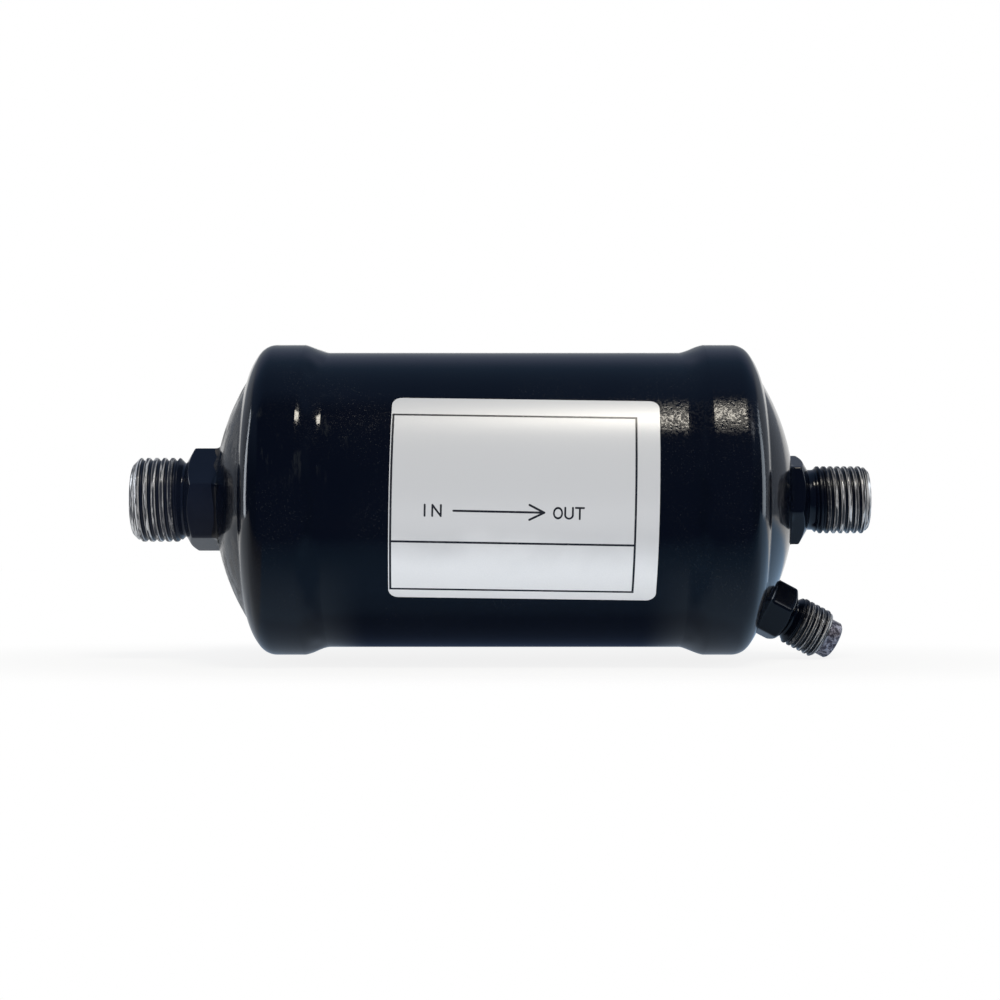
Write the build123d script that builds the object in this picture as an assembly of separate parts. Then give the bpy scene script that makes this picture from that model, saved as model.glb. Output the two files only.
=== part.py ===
from build123d import *
import math
import os

# Inline oil separator for a refrigerant line, lying along X.
# Gas enters at -X and leaves at +X, up is +Z, the label faces -Y.
# The origin is on the shell's axis, half-way along the tube. Millimetres.

# Shell tube
tube_od = 70.0
tube_wall = 2.0
tube_length = 104.0

# Pressed end caps, which slip over the tube and are seam welded to it
cap_wall = 1.8
lap_clearance = 0.05
cap_lap = 5.0
skirt_length = 6.8
knuckle_radius = 4.6
knuckle_turn = 52.0
shoulder_radius = 14.2
shoulder_turn = 25.0
step_radius = 1.6
step_turn = 19.5
land_radius = 13.6
weld_leg = 5.6
weld_shoulder_share = 0.45
weld_foot_share = 0.25

# Inlet connector, turned from hexagon bar
inlet_flats = 22.0
inlet_hex_length = 8.2
inlet_hex_roll = 15.8
inlet_face_d = 18.6
inlet_thread_d = 20.0
inlet_thread_length = 11.6
inlet_neck_d = 17.6
inlet_neck_length = 1.3
inlet_chamfer = 1.6
inlet_bore_d = 12.0
inlet_spigot_d = 16.0

# Outlet connector
outlet_flats = 19.0
outlet_hex_length = 4.8
outlet_hex_roll = 15.6
outlet_face_d = 15.2
outlet_thread_d = 16.0
outlet_thread_length = 12.6
outlet_neck_d = 14.3
outlet_neck_length = 2.0
outlet_chamfer = 1.1
outlet_bore_d = 9.0
outlet_spigot_d = 12.5

# Oil return connector, square to the crown of the outlet cap
port_angle = 28.3
port_roll = 12.0
port_flats = 13.0
port_hex_length = 6.7
port_hex_roll = 8.0
port_face_d = 10.8
port_thread_d = 12.0
port_thread_length = 8.3
port_neck_d = 9.8
port_neck_length = 1.3
port_nose_d = 9.2
port_nose_length = 3.4
port_chamfer = 0.5
port_bore_d = 5.0
port_spigot_d = 8.0
port_braze_foot = 3.0
port_braze_drop = 0.6
port_braze_rise = 0.9

# Shared details of the connectors. The coping depth is how far the oil return's bar reaches back
# before it is cut to the crown, and the overcut is how far each cutter runs past what it cuts.
spigot_reach = 3.0
bore_chamfer = 0.6
hex_chamfer_angle = 31.0
coping_depth = 7.0
braze_leg = 1.5
overcut = 1.0

# Foil label, rolled round the front of the tube. Its height is the one it has laid flat.
label_length = 60.3
label_height = 49.0
label_corner = 2.0
label_turn = 1.05
label_foil = 0.2
label_shift_x = 4.4
label_shift_z = 0.3

# Gas diffuser, a slotted cup on the inlet spigot
diffuser_wall = 1.2
diffuser_length = 17.0
slot_count = 6
slot_width = 5.0
slot_length = 8.0
slot_margin = 4.0

# Mesh pack, held between two flanged screens and two rings. The inset is how far the first pad
# lies from the tube's inlet end.
pack_inset = 22.0
pad_length = 16.0
screen_sheet = 1.2
screen_flange = 6.0
pack_clearance = 0.1
hole_d = 6.0
hole_pitch = 11.4
hole_rings = 2
divider_sheet = 1.0
ring_section = 2.4
pad_edge = 1.0

# Outlet standpipe, with a bell mouth
pipe_wall = 1.2
pipe_length = 22.0
bell_reach = 4.0
bell_spread = 4.0

# Oil strainer and metering insert of the oil return connector
strainer_wall = 0.6
strainer_grip = 2.4
strainer_length = 6.0
strainer_slot_width = 1.2
strainer_slot_length = 4.0
strainer_slot_count = 8
strainer_slot_margin = 1.2
insert_d = 6.0
insert_length = 7.0
insert_funnel = 1.5
orifice_d = 1.0

# Sizes that follow from the ones above
tube_radius = tube_od / 2
tube_bore_radius = tube_radius - tube_wall
cap_inner_radius = tube_radius + lap_clearance
cap_outer_radius = cap_inner_radius + cap_wall
rim_x = tube_length / 2 - cap_lap
pack_start = pack_inset - tube_length / 2
shoulder_end_heading = knuckle_turn + shoulder_turn
crown_start_heading = shoulder_end_heading - step_turn


def arc_end(start, heading, radius, turn):
    """End of an arc that leaves start along heading and turns towards the axis, in degrees."""
    side = 1 if turn > 0 else -1
    first, last = math.radians(heading), math.radians(heading + turn)
    step_x = side * radius * (math.sin(last) - math.sin(first))
    step_r = side * radius * (math.cos(last) - math.cos(first))
    return start[0] + step_x, start[1] + step_r


def cap_chain(depth):
    """Corners of the cap's wall line, depth below its outer face, from the rim to the crown."""
    skirt_start = (rim_x, cap_outer_radius - depth)
    skirt_end = (rim_x + skirt_length, cap_outer_radius - depth)
    knuckle_end = arc_end(skirt_end, 0, knuckle_radius - depth, knuckle_turn)
    shoulder_end = arc_end(knuckle_end, knuckle_turn, shoulder_radius - depth, shoulder_turn)
    step_end = arc_end(shoulder_end, shoulder_end_heading, step_radius + depth, -step_turn)
    return [skirt_start, skirt_end, knuckle_end, shoulder_end, step_end]


def heading_vector(heading):
    """Direction in the profile plane that points outwards and down towards the axis."""
    return math.cos(math.radians(heading)), -math.sin(math.radians(heading))


# The crown is a sphere whose centre is on the axis, so its radius follows from where it starts
crown_start = cap_chain(0)[-1]
crown_radius = crown_start[1] / math.cos(math.radians(crown_start_heading))
crown_centre_x = crown_start[0] - crown_radius * math.sin(math.radians(crown_start_heading))
land_x = crown_centre_x + math.sqrt(crown_radius**2 - land_radius**2)

# Lengths of the inlet and outlet connectors, from the land
inlet_end = inlet_hex_length + inlet_neck_length + inlet_thread_length
outlet_end = outlet_hex_length + outlet_neck_length + outlet_thread_length

# Heights along the oil return connector, from the crown's outer face
port_inner_end = -cap_wall - spigot_reach
port_nose_start = port_hex_length + port_neck_length + port_thread_length
port_end = port_nose_start + port_nose_length


def wall_line(depth):
    """The cap's wall line from the rim to the axis: skirt, knuckle, shoulder, step, crown, land."""
    skirt_start, skirt_end, knuckle_end, shoulder_end, step_end = cap_chain(depth)
    sphere = crown_radius - depth
    land_end = land_x - depth
    land_edge = math.sqrt(sphere**2 - (land_end - crown_centre_x) ** 2)
    crown_turn = math.degrees(math.acos(land_edge / sphere)) - crown_start_heading
    return [
        Line(skirt_start, skirt_end),
        JernArc(skirt_end, heading_vector(0), knuckle_radius - depth, -knuckle_turn),
        JernArc(knuckle_end, heading_vector(knuckle_turn), shoulder_radius - depth, -shoulder_turn),
        JernArc(shoulder_end, heading_vector(shoulder_end_heading), step_radius + depth, step_turn),
        JernArc(step_end, heading_vector(crown_start_heading), sphere, -crown_turn),
        Line((land_end, land_edge), (land_end, 0)),
    ]


def lathe(edges):
    """Solid of revolution about X, of a closed outline drawn with x and radius."""
    face = make_face(edges)
    return revolve(face, Axis.X, 360)


def outline(points):
    """Closed outline through corners of x and radius."""
    return Polyline(*points, close=True)


def cap_blank():
    """The outlet cap's pressing, without holes."""
    outer, inner = wall_line(0), wall_line(cap_wall)
    rim = Line(inner[0] @ 0, outer[0] @ 0)
    axis_line = Line(outer[-1] @ 1, inner[-1] @ 1)
    return lathe(outer + inner + [rim, axis_line])


def cap_solid_form():
    """The outlet cap filled in, for coping what stands on it."""
    outer = wall_line(0)
    back = Line((rim_x, 0), outer[0] @ 0)
    axis_line = Line(outer[-1] @ 1, (rim_x, 0))
    return lathe(outer + [back, axis_line])


def port_location():
    """Frame on the outlet cap's crown: Z out along the oil return, X in the port's plane."""
    angle = math.radians(port_angle)
    x = crown_centre_x + crown_radius * math.cos(angle)
    r = crown_radius * math.sin(angle)
    seat = Plane(
        origin=(x, 0, -r),
        x_dir=(math.sin(angle), 0, math.cos(angle)),
        z_dir=(math.cos(angle), 0, -math.sin(angle)),
    )
    return Location((0, 0, 0), (port_roll, 0, 0)) * seat.location


def rod(diameter, start, end):
    """Cylinder along Z from start to end."""
    upwards = (Align.CENTER, Align.CENTER, Align.MIN)
    return Pos(0, 0, start) * Cylinder(diameter / 2, end - start, align=upwards)


def turned(points):
    """Solid of revolution about Z, of corners given as height and radius."""
    face = make_face(Polyline(*[(r, 0, z) for z, r in points], close=True))
    return revolve(face, Axis.Z, 360)


def corner_radius(flats):
    """Distance from a hexagon's centre to its corners."""
    return flats / math.sqrt(3)


def hexagon_bar(flats, roll, start, end):
    """Plain hexagon bar along Z."""
    return Pos(0, 0, start) * extrude(RegularPolygon(corner_radius(flats), 6, rotation=roll), end - start)


def turned_hexagon(flats, roll, face_d, start, end):
    """Hexagon bar along Z with its outer corners turned off down to a round end face."""
    clear_radius = corner_radius(flats) + overcut
    drop = (clear_radius - face_d / 2) * math.tan(math.radians(hex_chamfer_angle))
    envelope = turned([
        (start, 0), (start, clear_radius), (end - drop, clear_radius), (end, face_d / 2), (end, 0),
    ])
    return hexagon_bar(flats, roll, start, end) & envelope


def threaded_stem(thread_d, neck_d, hex_end, neck_length, thread_length, chamfer):
    """Relief neck and plain thread blank along Z, beyond the hexagon."""
    neck_end = hex_end + neck_length
    run_in = (thread_d - neck_d) / 2
    thread_end = neck_end + thread_length
    return turned([
        (hex_end, 0),
        (hex_end, neck_d / 2),
        (neck_end - run_in / 2, neck_d / 2),
        (neck_end + run_in / 2, thread_d / 2),
        (thread_end - chamfer, thread_d / 2),
        (thread_end, thread_d / 2 - chamfer),
        (thread_end, 0),
    ])


def bored(body, bore_d, start, end):
    """Body with a through bore along Z, opened by a small chamfer at its outer mouth."""
    mouth = turned([
        (end - bore_chamfer, 0),
        (end - bore_chamfer, bore_d / 2),
        (end, bore_d / 2 + bore_chamfer),
        (end + overcut, bore_d / 2 + bore_chamfer),
        (end + overcut, 0),
    ])
    return body - rod(bore_d, start - overcut, end + overcut) - mouth


def line_connector(hexagon, stem, spigot_d, bore_d, end):
    """Inlet or outlet connector along Z: hexagon and stem on a spigot, with the cap's land at zero."""
    inner_end = -cap_wall - spigot_reach
    return bored(hexagon + stem + rod(spigot_d, inner_end, 0), bore_d, inner_end, end)


def inlet_frame():
    """Frame on the inlet cap's land, with Z out of the shell."""
    return Plane(origin=(-land_x, 0, 0), x_dir=(0, -1, 0), z_dir=(-1, 0, 0)).location


def outlet_frame():
    """Frame on the outlet cap's land, with Z out of the shell."""
    return Plane(origin=(land_x, 0, 0), x_dir=(0, 1, 0), z_dir=(1, 0, 0)).location


def shell_tube():
    """Plain tube."""
    ring = Circle(tube_radius) - Circle(tube_bore_radius)
    return Plane(origin=(-tube_length / 2, 0, 0), z_dir=(1, 0, 0)).location * extrude(ring, tube_length)


def outlet_cap():
    """Pressed cap with a centre hole and the oil return's hole."""
    centre_hole = outlet_frame() * rod(outlet_spigot_d, -cap_wall - overcut, overcut)
    port_hole = port_location() * rod(port_spigot_d, -cap_wall - overcut, overcut)
    return cap_blank() - centre_hole - port_hole


def inlet_cap():
    """The same pressing, turned round, with the centre hole alone."""
    blank = mirror(cap_blank(), about=Plane.YZ)
    return blank - inlet_frame() * rod(inlet_spigot_d, -cap_wall - overcut, overcut)


def seam_weld():
    """Lap weld bead between the outlet cap's rim and the tube."""
    toe = (rim_x - weld_leg, tube_radius)
    root = (rim_x, tube_radius)
    rim_edge = (rim_x, cap_outer_radius)
    shoulder = (rim_x - weld_leg * weld_shoulder_share, cap_outer_radius)
    foot = (toe[0] + weld_leg * weld_foot_share, tube_radius)
    bead = Bezier(rim_edge, shoulder, foot, toe)
    return lathe([bead, Line(toe, root), Line(root, rim_edge)])


def inlet_connector():
    """Larger threaded connector, at the shell's left end."""
    hexagon = turned_hexagon(inlet_flats, inlet_hex_roll, inlet_face_d, 0, inlet_hex_length)
    stem = threaded_stem(
        inlet_thread_d, inlet_neck_d, inlet_hex_length, inlet_neck_length, inlet_thread_length,
        inlet_chamfer,
    )
    return inlet_frame() * line_connector(hexagon, stem, inlet_spigot_d, inlet_bore_d, inlet_end)


def outlet_connector():
    """Smaller threaded connector, at the shell's right end."""
    hexagon = turned_hexagon(outlet_flats, outlet_hex_roll, outlet_face_d, 0, outlet_hex_length)
    stem = threaded_stem(
        outlet_thread_d, outlet_neck_d, outlet_hex_length, outlet_neck_length, outlet_thread_length,
        outlet_chamfer,
    )
    return outlet_frame() * line_connector(hexagon, stem, outlet_spigot_d, outlet_bore_d, outlet_end)


def port_blank():
    """Oil return connector along Z, with the crown's outer face at zero on its axis."""
    body = turned_hexagon(port_flats, port_hex_roll, port_face_d, -coping_depth, port_hex_length)
    body += threaded_stem(
        port_thread_d, port_neck_d, port_hex_length, port_neck_length, port_thread_length, port_chamfer
    )
    nose = turned([
        (port_hex_length, 0),
        (port_hex_length, port_bore_d / 2),
        (port_nose_start - port_chamfer, port_nose_d / 2),
        (port_end - port_chamfer, port_nose_d / 2),
        (port_end, port_nose_d / 2 - port_chamfer),
        (port_end, 0),
    ])
    return body + nose


def oil_return_connector():
    """Small connector, its hexagon coped to the outlet cap's outer face, with a seat for the insert."""
    cap_beneath = port_location().inverse() * cap_solid_form()
    body = port_blank() - cap_beneath + rod(port_spigot_d, port_inner_end, port_hex_length)
    insert_seat = rod(insert_d, port_inner_end - overcut, port_inner_end + insert_length)
    return port_location() * (bored(body, port_bore_d, port_inner_end, port_end) - insert_seat)


def land_braze(flats, roll, frame):
    """Braze fillet round a hexagon that stands on a cap's land."""
    corner = corner_radius(flats)
    cone = turned([(0, 0), (0, corner + braze_leg), (braze_leg, corner), (braze_leg, 0)])
    return frame * (cone - hexagon_bar(flats, roll, -overcut, braze_leg + overcut))


def oil_return_braze():
    """Braze fillet between the small hexagon and the crown, which curves away from it."""
    corner = corner_radius(port_flats)
    cone = turned([
        (-port_braze_foot, 0),
        (-port_braze_foot, corner + braze_leg),
        (-port_braze_drop, corner + braze_leg),
        (port_braze_rise, corner),
        (port_braze_rise, 0),
    ])
    core = hexagon_bar(port_flats, port_hex_roll, -port_braze_foot - overcut, port_braze_rise + overcut)
    return port_location() * (cone - core) - cap_solid_form()


def label():
    """Foil label: a thin sleeve of the tube's face, trimmed to a rounded rectangle seen from -Y."""
    sleeve = Circle(tube_radius + label_foil) - Circle(tube_radius)
    sleeve = Plane(origin=(-tube_length / 2, 0, 0), z_dir=(1, 0, 0)).location * extrude(sleeve, tube_length)
    height = 2 * (tube_radius + label_foil) * math.sin(label_height / 2 / tube_radius)
    front = Plane(origin=(label_shift_x, 0, label_shift_z), x_dir=(1, 0, 0), z_dir=(0, -1, 0))
    trim = extrude(Rot(0, 0, -label_turn) * RectangleRounded(label_length, height, label_corner), tube_od)
    return sleeve & (front.location * trim)


def slots(count, width, start, end, reach):
    """Radial slots along Z with round ends, for cutting through a cup's wall."""
    cutter = Plane.XZ.location * extrude(SlotOverall(end - start, width, rotation=90), reach)
    cutter = Pos(0, 0, (start + end) / 2) * cutter
    return [Rot(0, 0, i * 360 / count) * cutter for i in range(count)]


def cup(inner_d, wall, mouth, bottom):
    """Thin cup along Z, open at its mouth, with a closed bottom and a rounded corner."""
    inner, outer = inner_d / 2, inner_d / 2 + wall
    corner = wall
    return turned([
        (mouth, inner),
        (mouth, outer),
        (bottom + corner, outer),
        (bottom, outer - corner),
        (bottom, 0),
        (bottom + wall, 0),
        (bottom + wall, inner),
    ])


def inlet_diffuser():
    """Slotted cup pressed over the inlet spigot, against the cap's land."""
    mouth, bottom = -cap_wall, -cap_wall - diffuser_length
    slot_end = -cap_wall - spigot_reach - slot_margin
    body = cup(inlet_spigot_d, diffuser_wall, mouth, bottom)
    for cutter in slots(slot_count, slot_width, slot_end - slot_length, slot_end, inlet_spigot_d):
        body -= cutter
    return inlet_frame() * body


def flanged_screen(face_x):
    """Perforated plate across the tube, its back at face_x, with a flange towards -X."""
    radius = tube_bore_radius - pack_clearance
    inner = radius - screen_sheet
    dish = lathe(outline([
        (face_x, 0),
        (face_x, radius),
        (face_x - screen_flange, radius),
        (face_x - screen_flange, inner),
        (face_x - screen_sheet, inner),
        (face_x - screen_sheet, 0),
    ]))
    return dish - holes(face_x - screen_sheet, face_x)


def holes(start_x, end_x):
    """Round holes in hexagonal rings, as one cutter along X."""
    centres = [(0, 0)]
    for ring in range(1, hole_rings + 1):
        for side in range(6):
            first, second = math.radians(60 * side), math.radians(60 * side + 60)
            for step in range(ring):
                near, far = (ring - step) * hole_pitch, step * hole_pitch
                centres.append((
                    near * math.cos(first) + far * math.cos(second),
                    near * math.sin(first) + far * math.sin(second),
                ))
    pattern = Sketch() + [Pos(*centre) * Circle(hole_d / 2) for centre in centres]
    back = Plane(origin=(start_x - overcut, 0, 0), z_dir=(1, 0, 0))
    return back.location * extrude(pattern, end_x - start_x + 2 * overcut)


def tube_disc(start_x, end_x, clearance, edge=0.0):
    """Disc across the tube's bore, with its rims bevelled by edge."""
    radius = tube_bore_radius - clearance
    if edge == 0:
        return lathe(outline([(start_x, 0), (start_x, radius), (end_x, radius), (end_x, 0)]))
    return lathe(outline([
        (start_x, 0),
        (start_x, radius - edge),
        (start_x + edge, radius),
        (end_x - edge, radius),
        (end_x, radius - edge),
        (end_x, 0),
    ]))


def retaining_ring(start_x):
    """Square-section ring tacked into the tube's bore, from start_x towards +X."""
    inner = tube_bore_radius - ring_section
    end_x = start_x + ring_section
    return lathe(outline([
        (start_x, inner), (start_x, tube_bore_radius), (end_x, tube_bore_radius), (end_x, inner),
    ]))


def mesh_pack():
    """Rings, screens, pads and divider, laid out along X from the pack's start."""
    divider_start = pack_start + pad_length
    divider_end = divider_start + divider_sheet
    pack_end = divider_end + pad_length
    outlet_screen = mirror(flanged_screen(-pack_end), about=Plane.YZ)
    divider = tube_disc(divider_start, divider_end, pack_clearance) - holes(divider_start, divider_end)
    return {
        "inlet_retaining_ring": retaining_ring(pack_start - screen_flange - ring_section),
        "inlet_screen": flanged_screen(pack_start),
        "inlet_mesh_pad": tube_disc(pack_start, divider_start, pack_clearance, pad_edge),
        "pad_divider": divider,
        "outlet_mesh_pad": tube_disc(divider_end, pack_end, pack_clearance, pad_edge),
        "outlet_screen": outlet_screen,
        "outlet_retaining_ring": retaining_ring(pack_end + screen_flange),
    }


def outlet_standpipe():
    """Pipe pressed over the outlet spigot, with a bell mouth towards the pack."""
    inner, outer = outlet_spigot_d / 2, outlet_spigot_d / 2 + pipe_wall
    mouth = -cap_wall - pipe_length
    throat = mouth + bell_reach
    return outlet_frame() * turned([
        (-cap_wall, inner),
        (-cap_wall, outer),
        (throat, outer),
        (mouth, outer + bell_spread),
        (mouth, inner + bell_spread),
        (throat, inner),
    ])


def oil_strainer():
    """Slotted thimble pressed over the oil return's spigot."""
    mouth = port_inner_end + strainer_grip
    bottom = port_inner_end - strainer_length
    slot_start = bottom + strainer_slot_margin
    body = cup(port_spigot_d, strainer_wall, mouth, bottom)
    cutters = slots(
        strainer_slot_count, strainer_slot_width, slot_start, slot_start + strainer_slot_length, port_spigot_d
    )
    for cutter in cutters:
        body -= cutter
    return port_location() * body


def metering_insert():
    """Insert with the small orifice, pressed into the oil return's inner end."""
    start, end = port_inner_end, port_inner_end + insert_length
    radius, orifice = insert_d / 2, orifice_d / 2
    return port_location() * turned([
        (start, orifice + insert_funnel),
        (start, radius),
        (end, radius),
        (end, orifice),
        (start + insert_funnel, orifice),
    ])


def build_all():
    """Every node, by name."""
    nodes = {
        "shell_tube": shell_tube(),
        "inlet_cap": inlet_cap(),
        "outlet_cap": outlet_cap(),
        "inlet_seam_weld": mirror(seam_weld(), about=Plane.YZ),
        "outlet_seam_weld": seam_weld(),
        "inlet_connector": inlet_connector(),
        "outlet_connector": outlet_connector(),
        "oil_return_connector": oil_return_connector(),
        "inlet_braze": land_braze(inlet_flats, inlet_hex_roll, inlet_frame()),
        "outlet_braze": land_braze(outlet_flats, outlet_hex_roll, outlet_frame()),
        "oil_return_braze": oil_return_braze(),
        "label": label(),
        "inlet_diffuser": inlet_diffuser(),
        "outlet_standpipe": outlet_standpipe(),
        "oil_strainer": oil_strainer(),
        "metering_insert": metering_insert(),
    }
    nodes.update(mesh_pack())
    return nodes


os.makedirs("parts", exist_ok=True)
for name, shape in build_all().items():
    export_step(shape, f"parts/{name}.step")
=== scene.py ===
# The looks of an inline oil separator: black paint, bare threads, a foil label and a small studio.
# Shapes are worked out in millimetres and meshed in metres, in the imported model's own frame.
import math
import bpy
import numpy as np
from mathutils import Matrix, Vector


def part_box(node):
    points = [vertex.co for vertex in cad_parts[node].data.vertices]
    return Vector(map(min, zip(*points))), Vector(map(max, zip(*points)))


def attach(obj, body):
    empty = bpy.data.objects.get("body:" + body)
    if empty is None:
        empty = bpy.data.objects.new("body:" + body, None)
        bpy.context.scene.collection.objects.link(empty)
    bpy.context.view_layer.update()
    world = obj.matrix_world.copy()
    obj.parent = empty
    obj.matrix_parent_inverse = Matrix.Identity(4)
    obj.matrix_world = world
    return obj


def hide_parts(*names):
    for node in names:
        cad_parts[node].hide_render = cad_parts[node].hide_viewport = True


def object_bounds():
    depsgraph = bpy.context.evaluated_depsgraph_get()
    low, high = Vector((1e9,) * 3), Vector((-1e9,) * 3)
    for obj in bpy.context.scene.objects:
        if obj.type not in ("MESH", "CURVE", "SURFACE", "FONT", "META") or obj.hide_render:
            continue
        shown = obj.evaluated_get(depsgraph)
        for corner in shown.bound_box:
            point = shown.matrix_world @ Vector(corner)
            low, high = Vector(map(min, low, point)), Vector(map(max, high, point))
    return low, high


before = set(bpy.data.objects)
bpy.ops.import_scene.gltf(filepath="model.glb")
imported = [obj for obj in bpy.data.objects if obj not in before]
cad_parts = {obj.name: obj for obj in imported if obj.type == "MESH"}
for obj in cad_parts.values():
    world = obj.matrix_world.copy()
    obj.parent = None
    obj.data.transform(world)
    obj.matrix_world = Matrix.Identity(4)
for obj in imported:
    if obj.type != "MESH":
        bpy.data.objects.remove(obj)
cad_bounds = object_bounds()

MM = 0.001


def cad_box(node):
    """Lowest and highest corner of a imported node, in millimetres."""
    low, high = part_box(node)
    return np.array(low) / MM, np.array(high) / MM


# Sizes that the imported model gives
tube_low, tube_high = cad_box("shell_tube")
cap_low, cap_high = cad_box("outlet_cap")
weld_low, weld_high = cad_box("outlet_seam_weld")
part_low = np.array(cad_bounds[0]) / MM

tube_radius = tube_high[2]
tube_half = tube_high[0]
rim_x = cap_low[0]
land_x = cap_high[0]
cap_radius = cap_high[2]
weld_leg = weld_high[0] - weld_low[0]

# Pressed caps
tube_wall = 2.0
cap_wall = 1.8
skirt_length = 6.8
knuckle_radius = 4.6
knuckle_turn = 52.0
shoulder_radius = 14.2
shoulder_turn = 25.0
step_radius = 1.6
step_turn = 19.5
crown_start_heading = knuckle_turn + shoulder_turn - step_turn

# Connectors, along their own axes from the cap's land or crown
spigot_reach = 3.0
bore_chamfer = 0.6
hex_chamfer_angle = 31.0
INLET = dict(
    flats=22.0, roll=15.8, sharpness=80, face_d=18.6, hex_length=8.2, neck_d=17.6, neck_length=1.3, thread_d=20.0,
    pitch=1.92, first_crest=0.0, depth=0.66, thread_length=11.6, chamfer=1.6, bore_d=12.0, spigot_d=16.0,
)
OUTLET = dict(
    flats=19.0, roll=15.6, sharpness=90, face_d=15.2, hex_length=4.8, neck_d=14.3, neck_length=2.0, thread_d=16.0,
    pitch=1.63, first_crest=0.2, depth=0.62, thread_length=12.6, chamfer=1.1, bore_d=9.0, spigot_d=12.5,
)
PORT = dict(
    flats=13.0, roll=8.0, sharpness=26, face_d=10.8, hex_length=6.7, neck_d=9.8, neck_length=1.3, thread_d=12.0,
    pitch=1.44, first_crest=0.0, depth=0.52, thread_length=8.3, chamfer=0.5, bore_d=5.0, spigot_d=8.0,
)
port_angle = 28.3
port_roll = 12.0
nose_d = 9.2
nose_length = 3.4
braze_leg = 1.5
facet_allowance = 0.002

# Foil label
label_length = 60.3
label_height = 48.6
label_corner = 2.2
label_turn = 1.05
label_foil = 0.17
label_shift_x = 4.4
label_shift_z = 0.2

# How finely the surfaces are divided
ROUND_COLUMNS = 240
THREAD_COLUMNS = 300
PORT_COLUMNS = 240
CREASE_ANGLE = math.radians(38)


# Shapes


def oriented(points, quads):
    """The quads, turned round if the closed surface they make is inside out.

    The volume is the sum of a . (b x c) / 6 over the triangles, and it is positive when faces point out.
    """
    a, b, c, d = (points[quads[:, k]] for k in range(4))
    volume = np.einsum("ij,ij->", a, np.cross(b, c)) + np.einsum("ij,ij->", a, np.cross(c, d))
    return quads if volume > 0 else quads[:, ::-1]


def mesh_object(name, points, quads, crease=CREASE_ANGLE):
    """Smooth-shaded object from points in millimetres and quads, with edges sharper than crease kept."""
    quads = oriented(points, quads)
    mesh = bpy.data.meshes.new(name)
    mesh.vertices.add(len(points))
    mesh.vertices.foreach_set("co", (points * MM).astype(np.float32).ravel())
    mesh.loops.add(quads.size)
    mesh.loops.foreach_set("vertex_index", quads.astype(np.int32).ravel())
    mesh.polygons.add(len(quads))
    mesh.polygons.foreach_set("loop_start", np.arange(0, quads.size, 4, dtype=np.int32))
    mesh.update(calc_edges=True)
    mesh.validate()
    mesh.shade_smooth()
    mesh.set_sharp_from_angle(angle=crease)
    piece = bpy.data.objects.new(name, mesh)
    bpy.context.scene.collection.objects.link(piece)
    return piece


def grid_quads(rows, columns, wrap_rows=True, wrap_columns=True):
    """Corner numbers of the quads between neighbouring points of a grid, wrapped round where asked."""
    index = np.arange(rows * columns).reshape(rows, columns)
    if wrap_rows:
        index = np.vstack([index, index[:1]])
    if wrap_columns:
        index = np.hstack([index, index[:, :1]])
    corners = [index[:-1, :-1], index[1:, :-1], index[1:, 1:], index[:-1, 1:]]
    return np.stack(corners, axis=-1).reshape(-1, 4)


def ring_object(name, grid, crease=CREASE_ANGLE):
    """Closed ring-shaped object from a grid whose rows and columns both come back to their start."""
    rows, columns = grid.shape[:2]
    return mesh_object(name, grid.reshape(-1, 3), grid_quads(rows, columns), crease)


def angles(columns):
    """Evenly spaced angles round a full turn, in radians."""
    return np.linspace(0, 2 * math.pi, columns, endpoint=False)


def line(start, end, steps):
    """Points from start to end, both included, as (steps, 2)."""
    share = np.linspace(0, 1, steps)[:, None]
    return (1 - share) * np.array(start) + share * np.array(end)


def arc(start, heading, radius, turn, steps):
    """Points of an arc that leaves start along heading and turns towards the axis, in degrees.

    With h the heading along the arc and s its sign: x = x0 + s R (sin h - sin h0) and
    r = r0 + s R (cos h - cos h0).
    """
    side = math.copysign(1, turn)
    h = np.radians(np.linspace(heading, heading + turn, steps))
    x = start[0] + side * radius * (np.sin(h) - np.sin(h[0]))
    r = start[1] + side * radius * (np.cos(h) - np.cos(h[0]))
    return np.stack([x, r], axis=-1)


def wall_line(depth, hole_radius):
    """The cap's wall line, depth below its outer face, from the rim to the hole in its land.

    Skirt, knuckle arc, shoulder arc, a reversed step arc, the spherical crown, and the flat land.
    """
    skirt = line((rim_x, cap_radius - depth), (rim_x + skirt_length, cap_radius - depth), 6)
    knuckle = arc(skirt[-1], 0, knuckle_radius - depth, knuckle_turn, 14)
    shoulder = arc(knuckle[-1], knuckle_turn, shoulder_radius - depth, shoulder_turn, 12)
    step = arc(shoulder[-1], knuckle_turn + shoulder_turn, step_radius + depth, -step_turn, 8)
    sphere = crown_radius - depth
    land_edge = math.sqrt(sphere**2 - (land_x - depth - crown_centre_x) ** 2)
    crown_turn = math.degrees(math.acos(land_edge / sphere)) - crown_start_heading
    crown = arc(step[-1], crown_start_heading, sphere, crown_turn, 40)
    land = line((land_x - depth, land_edge), (land_x - depth, hole_radius), 4)
    return np.vstack([skirt, knuckle[1:], shoulder[1:], step[1:], crown[1:], land[1:]])


def crown_start():
    """Where the crown begins on the outer face, after the skirt and the three arcs."""
    point = (rim_x + skirt_length, cap_radius)
    point = arc(point, 0, knuckle_radius, knuckle_turn, 2)[-1]
    point = arc(point, knuckle_turn, shoulder_radius, shoulder_turn, 2)[-1]
    return arc(point, knuckle_turn + shoulder_turn, step_radius, -step_turn, 2)[-1]


crown_radius = crown_start()[1] / math.cos(math.radians(crown_start_heading))
crown_centre_x = crown_start()[0] - crown_radius * math.sin(math.radians(crown_start_heading))


def revolved(profile, columns=ROUND_COLUMNS, side=1):
    """Grid of a profile of x and radius carried round the X axis: (side x, -r cos t, r sin t)."""
    t = angles(columns)
    x = np.repeat(side * profile[:, :1], columns, axis=1)
    y = -profile[:, 1:] * np.cos(t)
    z = profile[:, 1:] * np.sin(t)
    return np.stack([x, y, z], axis=-1)


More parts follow.
